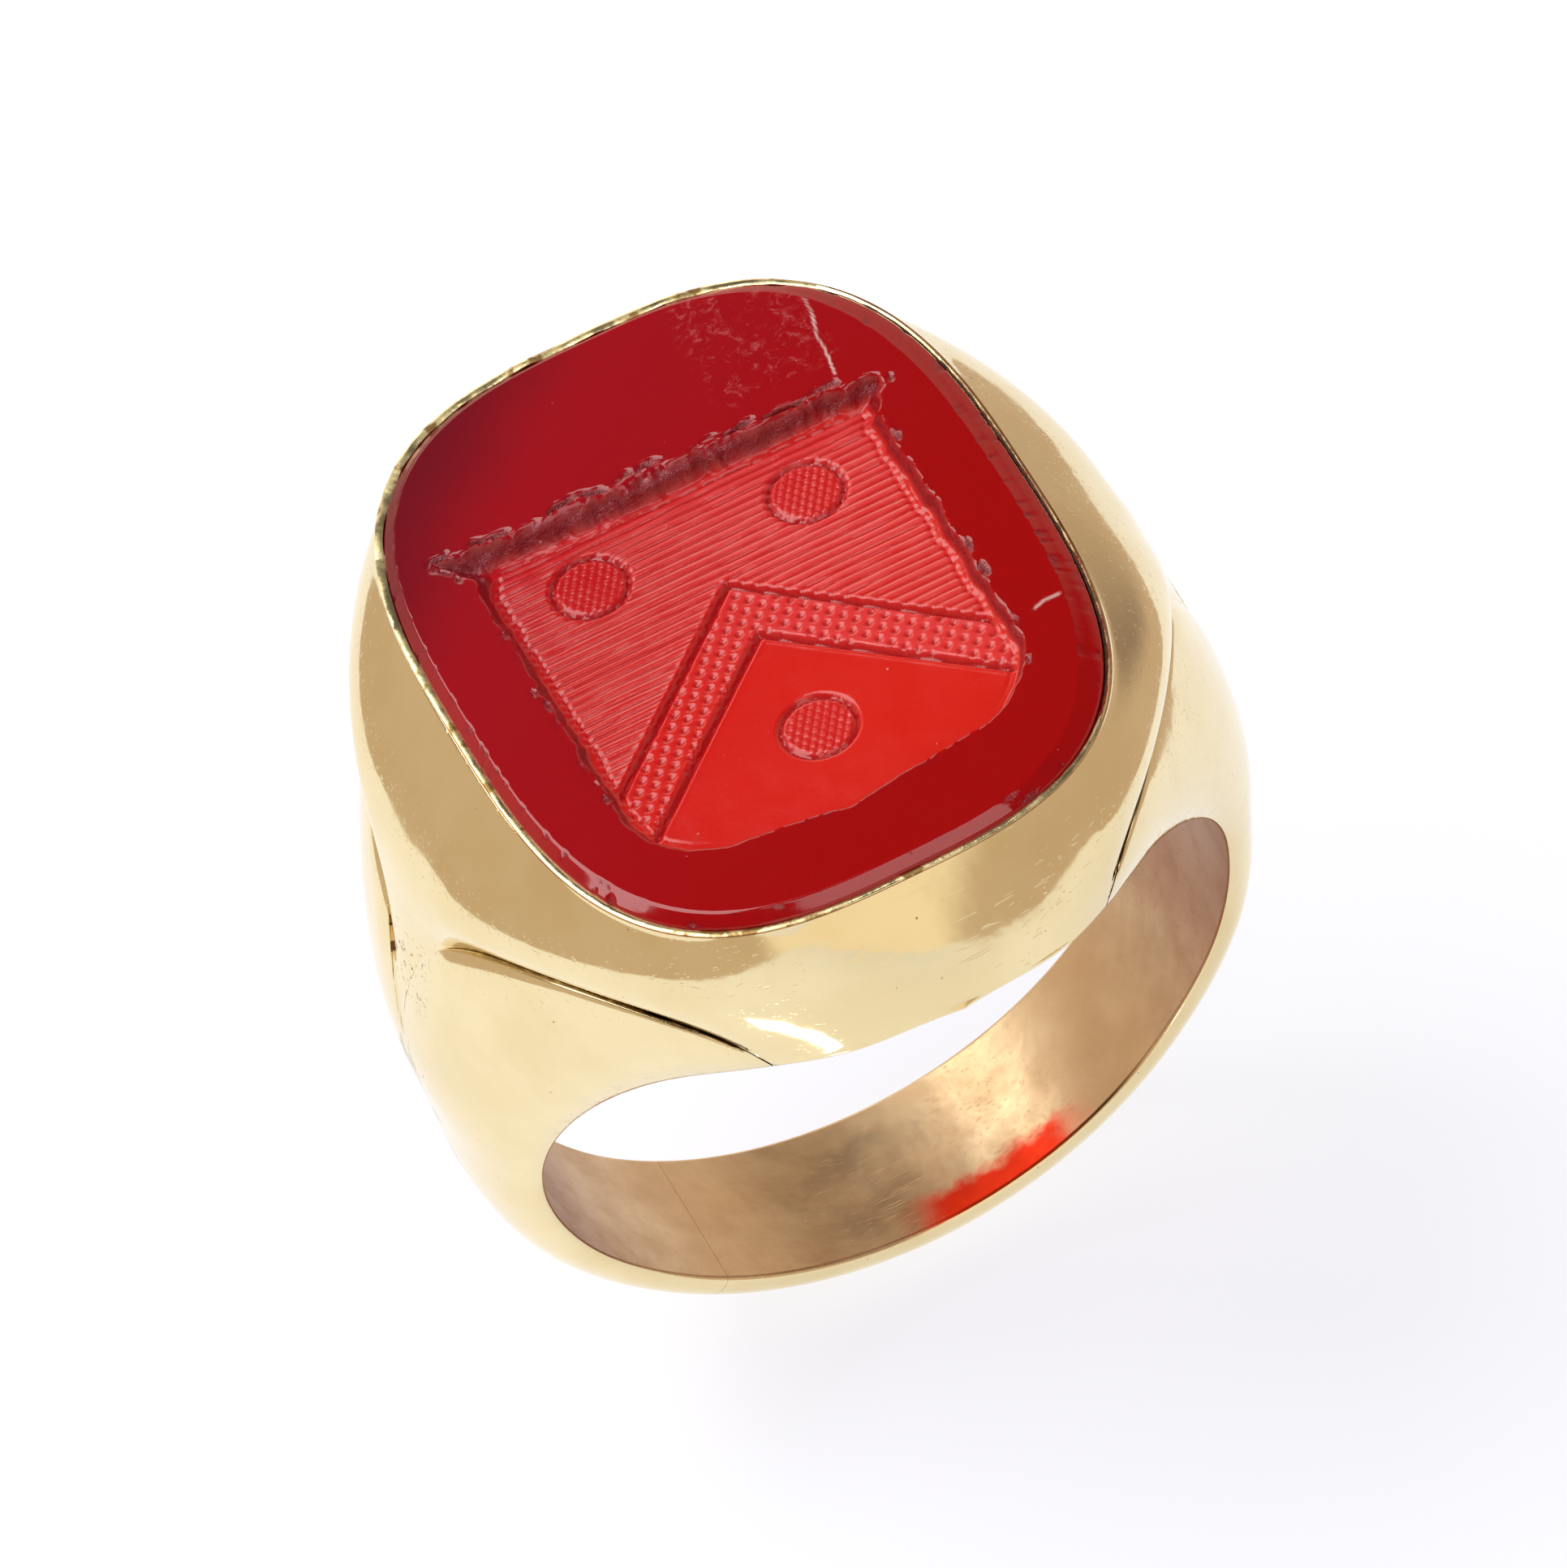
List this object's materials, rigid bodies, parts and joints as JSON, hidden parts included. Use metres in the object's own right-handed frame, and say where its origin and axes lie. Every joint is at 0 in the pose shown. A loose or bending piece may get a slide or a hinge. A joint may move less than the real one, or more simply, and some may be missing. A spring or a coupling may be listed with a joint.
{
  "type": "signet ring",
  "caption": "Finger ring with a broad cushion-shaped gold head that holds a flat red seal stone engraved with a plain shield, between two tapering shank arms.",
  "frame": {"origin": "centre of the lowest point of the band, under the middle of the finger hole", "axes": "+Z from the base of the band up through the seal; the finger hole runs along Y, with +Y towards the top of the engraved shield; +X to the shield's right as the seal is looked at"},
  "size_m": [0.0224, 0.023, 0.0246],
  "materials": {
    "polished_gold": "worn high polish with fine scratches",
    "burnished_gold": "burnished, slightly ragged edge",
    "carnelian": "translucent, polished table, ground recesses",
    "shellac": "dark satin cement"
  },
  "bodies": {
    "root": {"right_shank": "polished_gold", "left_shank": "polished_gold", "head": "polished_gold", "bearing_ledge": "polished_gold", "bezel_lip": "burnished_gold", "cement_bed": "shellac", "intaglio_stone": "carnelian"}
  },
  "joints": []
}
